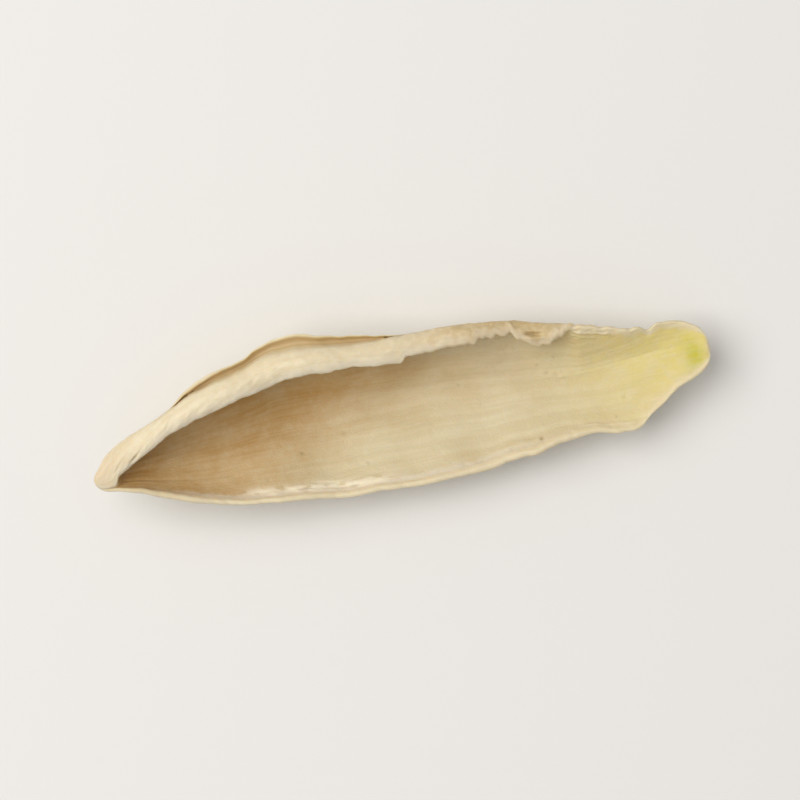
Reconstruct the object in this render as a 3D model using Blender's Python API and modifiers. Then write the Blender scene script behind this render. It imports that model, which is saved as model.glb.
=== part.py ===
"""A dried scale of a lily bulb: one thick, boat-shaped bulb leaf lying on its belly, hollow face up.

Dimensions are in millimetres, and MM makes them metres. +X runs from the nose of the scale to its blunt
end, +Y points to the far side, whose margin rolls inwards over the hollow, and +Z is up. The scale lies on
z = 0, with its origin under the middle of its box.
"""

import math

import bmesh
import bpy
from mathutils import Vector

MM = 0.001

LENGTH = 46.0
MARGIN_WIDTH = 5.0  # from a margin to where the flesh has its full thickness
LID_BULGE = 0.45  # how far the solid tip of the nose bulges above its margins
MARGIN_WAVES = ((10.3, 0.13), (6.1, 0.08))  # length and height of the waves that run along the margins
REST_SPOT_DEPTH = 0.27  # what is missing from the belly at the flat spot that the scale lies on
BOX_MIDDLE = Vector((23.0, 1.17, 0.0))  # from the start of the axis at the nose to the middle of the box

# Each profile below lists pairs of a share of the length, from the nose to the blunt end, and a value.
# These are in millimetres.
FAR_REACH = (
    (0.05, 2.1), (0.09, 3.0), (0.14, 4.1), (0.19, 5.5), (0.27, 6.6), (0.31, 7.3), (0.35, 7.8), (0.39, 7.25),
    (0.44, 6.65), (0.5, 6.1), (0.58, 5.8), (0.68, 5.35), (0.78, 4.1), (0.86, 3.0), (0.94, 2.8), (0.98, 1.95),
)
NEAR_REACH = (
    (0.05, 1.4), (0.08, 1.75), (0.13, 2.85), (0.24, 4.35), (0.38, 5.2), (0.5, 5.45), (0.6, 5.45),
    (0.68, 4.85), (0.76, 4.2), (0.81, 4.4), (0.86, 4.9), (0.9, 3.45), (0.95, 2.0), (0.98, 1.35),
)
KEEL_SIDE = ((0.0, 0.0), (0.15, 0.9), (0.38, 1.55), (0.6, 1.2), (0.8, 0.2), (1.0, 0.3))
KEEL_RISE = (
    (0.0, 5.2), (0.035, 4.1), (0.08, 2.9), (0.15, 1.65), (0.25, 0.7), (0.38, 0.05), (0.5, 0.0),
    (0.66, 0.5), (0.82, 1.6), (0.93, 2.8), (1.0, 3.7),
)
FLESH_THICKNESS = ((0.0, 1.0), (0.1, 1.2), (0.25, 1.6), (0.55, 1.7), (0.8, 1.2), (0.95, 0.8), (1.0, 0.75))
MARGIN_THICKNESS = ((0.0, 0.25), (0.05, 0.35), (0.12, 0.75), (1.0, 0.75))
FAR_CREST = ((0.0, 6.7), (0.08, 7.2), (0.2, 7.5), (0.4, 7.2), (0.6, 6.2), (0.8, 5.0), (0.94, 4.2), (1.0, 4.0))
NEAR_CREST = ((0.0, 6.6), (0.08, 5.9), (0.2, 4.7), (0.4, 3.9), (0.6, 3.7), (0.8, 3.7), (1.0, 3.9))
ROLL_RADIUS = ((0.0, 0.8), (0.08, 1.05), (0.2, 1.4), (0.42, 1.35), (0.55, 1.1), (0.7, 0.9), (1.0, 0.9))
# These are in degrees, measured in the plane across the scale.
ROLL_TURN = (
    (0.0, 40.0), (0.08, 110.0), (0.2, 165.0), (0.42, 165.0), (0.55, 130.0), (0.68, 60.0), (0.85, 20.0),
    (1.0, 5.0),
)
FAR_SLOPE = ((0.0, 85.0), (0.1, 90.0), (0.7, 90.0), (0.87, 62.0), (1.0, 32.0))
NEAR_SLOPE = ((0.0, 80.0), (0.1, 72.0), (0.3, 60.0), (0.8, 50.0), (1.0, 30.0))
# This is the share of the hollow that flesh fills, which makes the tip of the nose solid.
NOSE_FILL = ((0.0, 1.0), (0.035, 1.0), (0.075, 0.45), (0.14, 0.0), (1.0, 0.0))

# Each end closes over a share of the length: at power 0.5 as round as a ball, above that more pointed.
NOSE_CLOSING = 0.05
NOSE_POWER = 0.7
END_CLOSING = 0.02
END_POWER = 0.5

STATIONS = 30
END_CROWDING = 0.85  # 0 spaces the stations evenly, 1 crowds them towards both ends as on a sphere
NEAR_ROWS = 4
WALL_ROWS = 4
ROLL_ROWS = 4
CURVE_FULLNESS = 0.5523  # the handle length that turns a Bezier curve into a quarter of an ellipse

TABLE_DEPTH = 2.0  # the block below z = 0 that cuts the rest spot
FLESH_COLOUR = (0.68, 0.56, 0.31, 1.0)
FLESH_ROUGHNESS = 0.55


def along(profile, share):
    """The value of a profile at a share of the length, on a smooth curve through its points."""
    share = min(max(share, profile[0][0]), profile[-1][0])
    last = len(profile) - 2
    span = next((i for i in range(last) if share <= profile[i + 1][0]), last)
    chords = [(b[1] - a[1]) / (b[0] - a[0]) for a, b in zip(profile, profile[1:])]

    def slope(point):
        if point == 0 or point == len(chords):
            return chords[min(point, last)]
        before, after = chords[point - 1], chords[point]
        return 0.0 if before * after <= 0.0 else 2.0 * before * after / (before + after)

    (start, low), (end, high) = profile[span], profile[span + 1]
    width = end - start
    u = (share - start) / width
    from_low = (1.0 + 2.0 * u) * (1.0 - u) ** 2 * low + u * (1.0 - u) ** 2 * width * slope(span)
    to_high = u * u * (3.0 - 2.0 * u) * high - u * u * (1.0 - u) * width * slope(span + 1)
    return from_low + to_high


def ease(value):
    """0 up to 0, 1 from 1 on, and a smooth step between."""
    value = min(max(value, 0.0), 1.0)
    return value * value * (3.0 - 2.0 * value)


def wall_curve(keel, top, slope, rows):
    """Points on a curve that leaves the keel level and arrives at the top with a slope, keel first."""
    outwards = math.copysign(1.0, top.x - keel.x)
    rise = top.y - keel.y
    arriving = Vector((outwards * math.cos(slope), math.sin(slope)))
    level = outwards * (top.x - keel.x) - rise / math.tan(slope)
    first = keel + Vector((outwards * level * CURVE_FULLNESS, 0.0))
    second = top - arriving * (rise / math.sin(slope) * CURVE_FULLNESS)
    points = []
    for row in range(rows + 1):
        u = row / rows
        v = 1.0 - u
        points.append(v ** 3 * keel + 3 * v * v * u * first + 3 * v * u * u * second + u ** 3 * top)
    return points


def roll_curve(far, crest, radius, slope, turn, rows):
    """Points on the arc that the far margin rolls along, from the top of the wall to the free edge."""
    start = slope - math.pi / 2
    end = start + turn
    centre = Vector((
        far - radius * math.cos(min(end, 0.0)),
        crest - radius * math.sin(min(end, math.pi / 2)),
    ))
    angles = [start + turn * row / rows for row in range(rows + 1)]
    return [centre + radius * Vector((math.cos(angle), math.sin(angle))) for angle in angles]


def outer_curve(share):
    """The outer face across the scale at a share of the length, from the near margin to the far one."""
    wave = sum(rise * math.sin(2.0 * math.pi * share * LENGTH / run) for run, rise in MARGIN_WAVES)
    keel = Vector((along(KEEL_SIDE, share), along(KEEL_RISE, share)))
    near_edge = Vector((-along(NEAR_REACH, share), along(NEAR_CREST, share) + wave))
    far_slope = math.radians(along(FAR_SLOPE, share))
    roll = roll_curve(
        along(FAR_REACH, share), along(FAR_CREST, share) - wave, along(ROLL_RADIUS, share),
        far_slope, math.radians(along(ROLL_TURN, share)), ROLL_ROWS,
    )
    near = wall_curve(keel, near_edge, math.radians(along(NEAR_SLOPE, share)), NEAR_ROWS)
    wall = wall_curve(keel, roll[0], far_slope, WALL_ROWS)
    return near[:0:-1] + wall + roll[1:]


def inner_curve(share, outer):
    """The hollow face over an outer curve: its points moved in by the thickness of the flesh."""
    lengths = [0.0]
    for a, b in zip(outer, outer[1:]):
        lengths.append(lengths[-1] + (b - a).length)
    body = along(FLESH_THICKNESS, share)
    margin = along(MARGIN_THICKNESS, share)
    points = []
    for i, point in enumerate(outer):
        along_curve = outer[min(i + 1, len(outer) - 1)] - outer[max(i - 1, 0)]
        inwards = Vector((-along_curve.y, along_curve.x)).normalized()
        from_margin = min(lengths[i], lengths[-1] - lengths[i])
        fleshy = ease(from_margin / MARGIN_WIDTH)
        points.append(point + inwards * (margin + fleshy * (body - margin)))
    fill = along(NOSE_FILL, share)
    near_edge, far_edge = points[0], points[-1]
    filled = []
    for point, length in zip(points, lengths):
        across = length / lengths[-1]
        lid = near_edge.lerp(far_edge, across) + Vector((0.0, LID_BULGE * math.sin(math.pi * across)))
        filled.append(point.lerp(lid, fill))
    return filled


def section(share):
    """A closed loop of points round the flesh: the outer face to the far margin and the hollow face back."""
    held = min(max(share, NOSE_CLOSING), 1.0 - END_CLOSING)
    outer = outer_curve(held)
    inner = inner_curve(held, outer)
    loop = outer + inner[::-1]
    closing, power = (NOSE_CLOSING, NOSE_POWER) if share < held else (END_CLOSING, END_POWER)
    shrink = max(0.0, 1.0 - ((share - held) / closing) ** 2) ** power
    middle = outer[NEAR_ROWS].lerp(inner[NEAR_ROWS], 0.5)
    return [middle + (point - middle) * shrink for point in loop]


def station_share(station):
    """Where a station lies along the scale, as a share of its length."""
    even = station / STATIONS
    crowded = (1.0 - math.cos(math.pi * even)) / 2.0
    return even + END_CROWDING * (crowded - even)


def scale_cage():
    """A sphere's closed grid moulded to the scale: its poles are the two ends, its rings the sections."""
    around = 2 * (NEAR_ROWS + WALL_ROWS + ROLL_ROWS + 1)
    mesh = bmesh.new()
    bmesh.ops.create_uvsphere(mesh, u_segments=around, v_segments=STATIONS, radius=1.0)
    sections = [section(station_share(station)) for station in range(STATIONS + 1)]
    for vertex in mesh.verts:
        height = min(max(vertex.co.z, -1.0), 1.0)
        station = round(math.acos(height) / math.pi * STATIONS)
        turn = math.atan2(vertex.co.y, vertex.co.x) / (2.0 * math.pi)
        point = sections[station][round(turn * around) % around]
        place = Vector((LENGTH * station_share(station), point.x, point.y - REST_SPOT_DEPTH))
        vertex.co = (place - BOX_MIDDLE) * MM
    bmesh.ops.recalc_face_normals(mesh, faces=mesh.faces)
    return mesh


def collection(name):
    made = bpy.data.collections.new(name)
    bpy.context.scene.collection.children.link(made)
    return made


def flesh_material():
    material = bpy.data.materials.new("dried_bulb_flesh")
    material.use_nodes = True
    shader = material.node_tree.nodes["Principled BSDF"]
    shader.inputs["Base Color"].default_value = FLESH_COLOUR
    shader.inputs["Roughness"].default_value = FLESH_ROUGHNESS
    shader.inputs["Metallic"].default_value = 0.0
    return material


def lily_bulb_scale(parts):
    mesh = bpy.data.meshes.new("lily_bulb_scale")
    cage = scale_cage()
    cage.to_mesh(mesh)
    cage.free()
    mesh.shade_smooth()
    mesh.materials.append(flesh_material())
    scale = bpy.data.objects.new("lily_bulb_scale", mesh)
    parts.objects.link(scale)
    smoothing = scale.modifiers.new("smooth flesh", "SUBSURF")
    smoothing.levels = 1
    smoothing.render_levels = 1
    return scale


def cut_rest_spot(scale, cutters):
    """Cut the lowest part of the belly off level, so that the scale lies on a small flat spot."""
    mesh = bpy.data.meshes.new("table_cutter")
    box = bmesh.new()
    bmesh.ops.create_cube(box, size=1.0)
    bmesh.ops.scale(box, vec=Vector((LENGTH, LENGTH / 2, TABLE_DEPTH)) * MM, verts=box.verts)
    bmesh.ops.translate(box, vec=Vector((0.0, 0.0, -TABLE_DEPTH / 2)) * MM, verts=box.verts)
    box.to_mesh(mesh)
    box.free()
    cutter = bpy.data.objects.new("table_cutter", mesh)
    cutter.hide_render = True
    cutter.display_type = "WIRE"
    cutters.objects.link(cutter)
    cut = scale.modifiers.new("rest spot", "BOOLEAN")
    cut.operation = "DIFFERENCE"
    cut.solver = "EXACT"
    cut.object = cutter


def main():
    for leftover in list(bpy.data.objects):
        bpy.data.objects.remove(leftover)
    parts = collection("dried_lily_bulb_scale")
    cutters = collection("cutters")
    scale = lily_bulb_scale(parts)
    cut_rest_spot(scale, cutters)


main()
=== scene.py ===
"""The looks of a dried scale of a lily bulb, lying on its belly with its hollow face up.

Lengths are in millimetres and become metres through MM. Places on the scale are given as a share of
its length, from the nose at 0 to the blunt end at 1, and as a distance across it from its axis: plus
towards the far side, whose margin rolls inwards, and minus towards the near side.
"""

import math

import bpy
import numpy as np
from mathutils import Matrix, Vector, noise


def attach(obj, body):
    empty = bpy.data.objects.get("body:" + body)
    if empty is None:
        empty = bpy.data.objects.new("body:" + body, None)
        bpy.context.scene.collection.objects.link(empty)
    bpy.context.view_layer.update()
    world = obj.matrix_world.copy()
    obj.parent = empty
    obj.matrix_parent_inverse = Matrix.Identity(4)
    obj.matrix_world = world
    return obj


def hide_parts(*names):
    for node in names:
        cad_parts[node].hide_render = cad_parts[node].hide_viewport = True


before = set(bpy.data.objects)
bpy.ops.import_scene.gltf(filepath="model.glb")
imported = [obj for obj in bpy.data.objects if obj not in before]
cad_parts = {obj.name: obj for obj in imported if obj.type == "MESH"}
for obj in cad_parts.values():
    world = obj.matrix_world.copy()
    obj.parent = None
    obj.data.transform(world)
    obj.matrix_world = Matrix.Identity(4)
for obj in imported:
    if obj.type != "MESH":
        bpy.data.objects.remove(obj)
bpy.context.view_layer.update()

MM = 0.001
NODE = "lily_bulb_scale"

LENGTH = 45.9
BOX_MIDDLE = (22.95, 1.17)  # from the start of the axis at the nose to the middle of the box
SETTLED = 0.22  # how far the keel line's lowest point lies under the flat spot

# Each profile lists pairs of a share of the length and a value, here in millimetres. Close to the two
# ends the profiles run on as if the scale were not closed there, and closing() then rounds it off.
BAND_REACH = (  # the outside of the rolled band along the far margin
    (0.0, 1.45), (0.011, 1.72), (0.031, 2.33), (0.054, 2.63), (0.1, 3.17), (0.14, 3.95),
    (0.187, 4.77), (0.22, 5.16), (0.27, 5.74), (0.295, 6.2), (0.32, 6.38), (0.35, 6.36),
    (0.388, 6.18), (0.448, 5.9), (0.5, 5.73), (0.58, 5.7), (0.64, 5.5), (0.68, 5.28), (0.734, 4.6),
    (0.797, 3.88), (0.849, 3.26), (0.875, 2.9), (0.935, 2.78), (0.957, 2.62), (0.975, 2.56),
    (0.99, 2.67), (1.0, 2.8),
)
FREE_EDGE = (  # where the rolled band ends over the hollow, as seen from above
    (0.0, -1.72), (0.02, -1.5), (0.031, -1.25), (0.035, -0.9), (0.041, -0.05), (0.061, 0.42),
    (0.106, 1.62), (0.156, 2.68), (0.21, 3.15), (0.266, 3.85), (0.3, 4.08), (0.325, 4.4),
    (0.345, 4.45), (0.379, 4.4), (0.441, 4.25), (0.494, 3.97), (0.513, 3.83), (0.523, 4.3),
    (0.589, 4.37), (0.627, 4.23), (0.657, 4.5), (0.69, 4.35), (0.712, 3.6), (0.735, 2.97),
    (0.75, 3.1), (0.765, 3.5), (0.8, 3.3),
)
LIP_REACH = (  # how far the second, outer lip stands out from the band
    (0.12, 0.0), (0.14, 0.1), (0.187, 0.57), (0.222, 0.73), (0.271, 0.7), (0.3, 0.84), (0.326, 1.0),
    (0.354, 1.14), (0.391, 0.86), (0.451, 0.59), (0.503, 0.25), (0.55, 0.0),
)
NEAR_REACH = (
    (0.0, 1.95), (0.011, 1.83), (0.037, 1.5), (0.067, 1.63), (0.1, 2.16), (0.15, 3.01),
    (0.208, 3.81), (0.273, 4.26), (0.345, 4.66), (0.378, 4.98), (0.433, 5.02), (0.5, 5.2),
    (0.56, 5.17), (0.612, 5.08), (0.676, 4.66), (0.688, 4.7), (0.734, 4.27), (0.775, 4.06),
    (0.795, 4.1), (0.825, 4.42), (0.858, 4.5), (0.87, 4.36), (0.881, 4.0), (0.892, 3.56),
    (0.912, 2.98), (0.933, 2.26), (0.963, 1.72), (0.983, 1.68), (1.0, 1.9),
)
KEEL_SIDE = ((0.0, 0.0), (0.15, 0.9), (0.38, 1.55), (0.6, 1.2), (0.8, 0.2), (1.0, 0.3))
KEEL_RISE = (
    (0.0, 5.0), (0.035, 4.1), (0.08, 2.9), (0.15, 1.65), (0.25, 0.7), (0.38, 0.05), (0.5, 0.0),
    (0.66, 0.5), (0.82, 1.6), (0.93, 2.8), (1.0, 3.7),
)
# From the keel up to the core that both ends close on.
CORE_RISE = ((0.0, 0.9), (0.1, 1.0), (0.9, 0.4), (1.0, 0.3))
FAR_CREST = (
    (0.0, 6.5), (0.05, 6.85), (0.1, 7.05), (0.2, 7.25), (0.4, 7.0), (0.6, 6.1), (0.8, 4.9),
    (0.94, 4.15), (1.0, 3.95),
)
NEAR_CREST = (
    (0.0, 6.0), (0.04, 6.05), (0.1, 5.5), (0.2, 4.6), (0.4, 3.85), (0.6, 3.65), (0.8, 3.65),
    (1.0, 3.85),
)
FLESH_THICKNESS = (
    (0.0, 1.0), (0.1, 1.2), (0.25, 1.6), (0.55, 1.7), (0.8, 1.2), (0.95, 0.65), (1.0, 0.5),
)
NEAR_THICKNESS = ((0.0, 0.3), (0.05, 0.34), (0.12, 0.42), (0.6, 0.42), (0.85, 0.36), (1.0, 0.32))
FAR_THICKNESS = ((0.0, 0.4), (0.3, 0.45), (0.5, 0.42), (0.7, 0.34), (0.85, 0.34), (1.0, 0.32))
ROLL_HEIGHT = (
    (0.0, 0.75), (0.04, 0.8), (0.1, 0.9), (0.3, 1.08), (0.45, 0.95), (0.6, 0.8), (0.7, 0.7),
    (0.735, 0.5), (0.78, 0.6), (1.0, 0.6),
)
ROLL_RADIUS = (
    (0.0, 1.85), (0.031, 1.85), (0.045, 1.4), (0.08, 1.05), (0.14, 0.95), (0.2, 1.08), (0.3, 1.12),
    (0.4, 1.02), (0.5, 1.0), (0.6, 0.9), (0.7, 0.85), (0.8, 0.75), (1.0, 0.75),
)
# These profiles are in degrees, measured in the plane across the scale.
FAR_SLOPE = (
    (0.0, 85.0), (0.1, 90.0), (0.5, 90.0), (0.62, 78.0), (0.74, 62.0), (0.86, 50.0), (1.0, 32.0),
)
NEAR_SLOPE = ((0.0, 80.0), (0.1, 72.0), (0.3, 60.0), (0.8, 50.0), (1.0, 30.0))
# This is the share of the hollow that flesh fills, which makes the tip of the nose solid.
NOSE_FILL = ((0.0, 1.0), (0.033, 1.0), (0.048, 0.0), (1.0, 0.0))

MARGIN_WIDTH = 5.0  # from a margin to where the flesh has its full thickness
LID_BULGE = 0.1
MARGIN_WAVES = ((10.3, 0.13), (6.1, 0.08))  # length and height of the waves that run along the margins
CURVE_FULLNESS = 0.5523  # the handle length that turns a Bezier curve into a quarter of an ellipse
TIGHTEST_BELLY = 2.3  # the smallest radius of the belly at the keel, more than the flesh is thick
NOSE_CLOSING, END_CLOSING = 0.1, 0.05  # the shares of the length that the outline closes over
RIM_CLOSING = 0.009  # the share that the flesh thins over at the blunt end
MOST_ROLLED = 1.97  # how far under the free edge may turn, in radii in from the band's outside
BARE_TURN = 0.2  # how far the far rim turns up, in radians, where it is not rolled
UNROLLED = (0.768, 0.8)  # the shares of the length between which the roll runs out

DEEPEST_RELIEF = 0.38  # the share of the flesh's thickness that the relief may take from either face
FAN_WIDTH = 7.0  # from the keel to either margin, as the veins count it
STRAIGHT_VEINS = (33.0, 43.0)  # between these the veins stop following the margins and run straight

STATIONS = 424
END_CROWDING = 0.45
NEAR_ROWS = 36
WALL_ROWS = 30
LIP_ROWS = 24
ROLL_ROWS = 18
EDGE_ROWS = 6
MARGIN_STRETCH = 0.9  # the last stretch up to the far margin, which the last rows share out
LIP_BELOW, LIP_ABOVE = 2.2, 0.9  # how far below and above the roll's start the lip changes the face
# The lip's path: shares of that stretch, shares of the lip's reach, and millimetres up from the roll's
# start.
LIP_PLACES = (0.0, 0.3, 0.5, 0.6, 0.64, 0.68, 0.8, 0.9, 1.0)
LIP_OUTS = (0.0, 0.45, 0.8, 1.0, 1.0, 0.8, 0.5, 0.12, 0.0)
LIP_UPS = (-2.2, -1.25, -0.6, 0.0, 0.09, 0.02, -0.5, -0.42, 0.9)
GROOVE_START, GROOVE_END = 0.66, 0.93

# Stretches of the scale where its far margin is torn, or its band's outer flank is painted darker, or
# its near one frayed:
# where each one starts, the length that it comes in over, where it ends, and the length that it goes
# out over.
FLAKE_STRETCH = (26.0, 3.0, 37.0, 2.0)
TORN_STRETCH = (26.5, 3.0, 39.5, 2.0)
DARKER_FLANK_STRETCH = (26.0, 4.0, 37.0, 2.0)
FRAY_STRETCH = (9.0, 3.0, 22.5, 3.0)
# Where colours start along the scale, and the lengths that they come in over.
TORN_COLOUR = (21.0, 9.0)
BLEACHED = (3.0, 5.0)
LESS_BLEACHED = (27.0, 6.0)
GREEN_FLESH = (31.0, 14.0)
NOSE_TINT = 5.0  # how far the nose's own colour reaches
TAN_SHADE_EDGE = 4.6  # the distance across, under the roll, that the tan and painted shade spread from
TAN_SHADE_REACH, TAN_SHADE_REACH_AT_NOSE = 5.0, 11.0  # how far it spreads at its end, and how much more at the nose
TAN_SHADE_END, TAN_SHADE_FADE = 36.0, 20.0  # where it has gone, and over what length it goes
GREEN_TIP, GREEN_TIP_SIZE = (44.75, -0.2), (0.75, 1.5)
RELIEF_FADES = (1.2, 0.8)  # the lengths that the relief fades out over at the nose and the blunt end

# Layers of unevenness: height, run along the scale, width across it, and a seed. The veined ones
# follow the fan of the veins, the others the distance across.
VEINED_HOLLOW = ((0.05, 16.0, 0.75, 32.0), (0.022, 8.0, 0.33, 33.0))
UNEVEN_HOLLOW = ((0.12, 6.5, 3.6, 34.0), (0.03, 1.7, 1.2, 35.0))
ROUGH_MARGIN = ((0.035, 0.6, 0.5, 36.0),)
TORN_HOLLOW = ((0.09, 0.75, 0.28, 37.0), (0.05, 0.3, 0.22, 38.0))
SCURF_GRAIN = ((0.09, 0.42, 0.3, 39.0),)
VEIN_WANDER = ((0.5, 9.0, 4.0, 31.0),)
SKIN_RIDGES = (0.055, 22.0, 0.95, 41.0)
VEINED_SKIN = ((0.025, 9.0, 0.35, 42.0),)
UNEVEN_SKIN = ((0.16, 7.5, 4.5, 43.0), (0.035, 1.9, 1.3, 44.0))
ROLLED_SKIN = ((0.07, 1.5, 0.8, 45.0), (0.035, 0.5, 0.35, 46.0), (0.035, 3.0, 0.28, 48.0))
TORN_SKIN = ((0.06, 0.5, 0.25, 47.0),)
# The same for lines along the scale, which have no width across.
FREE_EDGE_STEPS = ((0.12, 1.6, 1.0, 51.0),)
FREE_EDGE_TEETH = (0.45, 1.0, 52.0)
LIP_STEPS = ((0.06, 0.8, 1.0, 13.0), (0.05, 2.1, 1.0, 14.0))

# Creases: start and end along the scale, distance in from the margin, width, height, and a seed.
NEAR_CREASES = (
    (11.5, 18.5, 0.55, 0.13, 0.1, 1.0), (13.2, 20.8, 0.95, 0.12, 0.13, 2.0),
    (15.6, 19.6, 1.35, 0.12, 0.07, 3.0), (19.5, 27.0, 0.7, 0.16, 0.05, 4.0),
    (27.5, 33.0, 0.8, 0.14, 0.06, 5.0), (35.5, 40.0, 0.55, 0.12, 0.1, 6.0),
)
FAR_CREASES = (
    (25.0, 33.0, 0.6, 0.13, 0.09, 7.0), (28.0, 38.5, 1.0, 0.12, 0.08, 8.0),
    (34.5, 39.5, 0.45, 0.13, 0.12, 9.0),
)
# Nicks in a margin: place along the scale, half its width, and its depth.
NEAR_NICKS = ((17.0, 0.5, 0.12), (20.4, 0.5, 0.1), (31.3, 0.3, 0.1), (9.2, 0.4, 0.08))
FAR_NICKS = (
    (41.7, 0.42, 0.5), (40.4, 0.25, 0.16), (38.3, 0.3, 0.2), (36.4, 0.25, 0.18), (31.9, 0.3, 0.2),
)
# Slits in the rolled band: place along the scale, distance across from the axis, how far each one
# turns towards the far side as it runs on, in radians, half its length and width, and its depth.
SLITS = (
    (3.25, 0.98, 0.66, 0.42, 0.09, 0.2), (33.4, 3.85, -0.2, 0.6, 0.13, 0.4),
    (36.6, 3.35, -0.1, 0.5, 0.1, 0.25),
)
# Pits in the hollow: place along the scale, distance across from the axis, size, and darkness.
PITS = (
    (15.1, -1.2, 0.14, 0.7), (32.5, -3.75, 0.14, 0.75), (33.3, 1.6, 0.11, 0.3),
    (33.9, 0.9, 0.11, 0.35), (27.4, 1.35, 0.11, 0.3), (18.4, -0.4, 0.11, 0.25),
    (19.7, -2.9, 0.1, 0.3), (22.3, 0.75, 0.1, 0.15), (9.6, 0.6, 0.1, 0.2), (30.2, -4.1, 0.1, 0.2),
    (38.2, -3.3, 0.1, 0.3), (12.3, -2.6, 0.1, 0.2), (24.8, -1.7, 0.1, 0.15), (34.6, 1.9, 0.1, 0.3),
)

PIT_DEPTH = 0.4  # as a share of the pit's size

# Scurfy patches in the hollow: place along the scale, distance across from the axis, and half the
# width.
SCURF = (
    (22.7, 2.6, 0.8), (28.4, -0.4, 0.7), (18.3, -2.7, 0.9), (34.6, 0.7, 0.8), (13.4, 0.4, 0.6),
    (31.3, 2.9, 0.7), (25.2, -2.9, 0.6), (38.9, -2.2, 0.6), (9.8, -1.6, 0.5), (36.2, 3.0, 0.7),
)

# Colours of the dried flesh, of which the tan in the hollow is partly painted shade, the groove's tan
# is painted shade and the bright rim colour is a painted highlight
CREAM = (0.69, 0.60, 0.39)
BEIGE = (0.635, 0.525, 0.32)
DEEP_BEIGE = (0.56, 0.445, 0.24)
# Tan in the deep of the hollow: partly the flesh's dried colour, partly painted shade.
TAN_AND_SHADE = (0.47, 0.27, 0.08)
YELLOWISH = (0.70, 0.59, 0.18)
GREENISH = (0.52, 0.48, 0.03)
WHITISH = (0.72, 0.64, 0.49)
# Painted highlight along the thin margins and the lip's edge.
RIM_HIGHLIGHT = (0.76, 0.65, 0.43)
FRAYED_WHITE = (0.88, 0.79, 0.60)
SPECK = (0.3, 0.2, 0.09)
IVORY = (0.72, 0.61, 0.40)
STRAW = (0.67, 0.53, 0.29)
PALE_VEIN = (0.76, 0.66, 0.46)
BAND_CREAM = (0.74, 0.64, 0.44)
TORN_BEIGE = (0.54, 0.40, 0.20)
TORN_CREAM = (0.66, 0.54, 0.32)
NOSE_CREAM = (0.66, 0.52, 0.34)
# Painted shade in the groove outside the band and on the band's outer flank.
GROOVE_SHADE = (0.51, 0.36, 0.16)

TRANSLUCENCE, GLOW_DEPTH, GLOW_SPREAD = 0.22, 0.9, (1.0, 0.6, 0.28)
FLESH_IOR = 1.42
BUMP_STRENGTH, BUMP_HEIGHT = 0.5, 0.05
TWO_FACES_APART = 20.0  # keeps the veins of the two faces from matching

# The stage and its light: places in metres, the rest of the camera's values in millimetres and degrees
PAPER = (0.8, 0.79, 0.77, 1.0)
SOFT_LIGHT = 0.48
KEY_PLACE, KEY_SIZE, KEY_POWER, KEY_COLOUR = (-0.22, 0.11, 0.42), 0.4, 1.87, (1.0, 0.97, 0.93)
LENS, SENSOR = 180.0, 36.0
VIEW_WIDTH, VIEW_HEIGHT, VIEW_TURN = 58.5, 3.5, 11.95


def along(profile, share):
    """The values of a profile at shares of the length, on a smooth curve through its points."""
    places, values = np.array(profile).T
    share = np.clip(share, places[0], places[-1])
    chords = np.diff(values) / np.diff(places)
    before, after = chords[:-1], chords[1:]
    agree = before * after > 0.0
    slopes = np.concatenate((chords[:1], np.zeros(len(agree)), chords[-1:]))
    slopes[1:-1][agree] = (2.0 * before * after)[agree] / (before + after)[agree]
    span = np.clip(np.searchsorted(places, share, side="right") - 1, 0, len(chords) - 1)
    width = (places[1:] - places[:-1])[span]
    u = (share - places[span]) / width
    v = 1.0 - u
    from_low = (1.0 + 2.0 * u) * v * v * values[span] + u * v * v * width * slopes[span]
    to_high = u * u * (3.0 - 2.0 * u) * values[span + 1] - u * u * v * width * slopes[span + 1]
    return from_low + to_high


def ease(value):
    """0 up to 0, 1 from 1 on, and a smooth step between."""
    value = np.clip(value, 0.0, 1.0)
    return value * value * (3.0 - 2.0 * value)


def hump(value, middle, width):
    """1 at the middle, falling smoothly to nothing at about twice the width from it."""
    return np.exp(-((value - middle) / width) ** 2)


def closing(from_end, length):
    """0 at an end, rising as on an ellipse to 1 at a length from it."""
    return np.sqrt(1.0 - np.clip(1.0 - from_end / length, 0.0, 1.0) ** 2)


def grain(along_mm, across_mm, run, width, seed):
    """Smooth noise from about -1 to 1 that changes over a run along the scale and a width across it."""
    along_mm, across_mm = np.broadcast_arrays(along_mm, across_mm)
    places = zip((along_mm / run).flat, (across_mm / width).flat)
    values = [noise.noise(Vector((a, b, seed))) for a, b in places]
    return np.array(values).reshape(along_mm.shape)


def layered(along_mm, across_mm, layers):
    """The sum of layers of noise, each with its height, run, width and seed."""
    return sum(height * grain(along_mm, across_mm, *spread) for height, *spread in layers)


def coming_in(x, start, length):
    """0 up to the start, then rising to 1 over a length."""
    return ease((x - start) / length)


def stretch(x, start, coming, end, going):
    """1 along a stretch of the scale, coming in from 0 at its start and going out to 0 at its end."""
    return coming_in(x, start, coming) * ease((end - x) / going)


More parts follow.
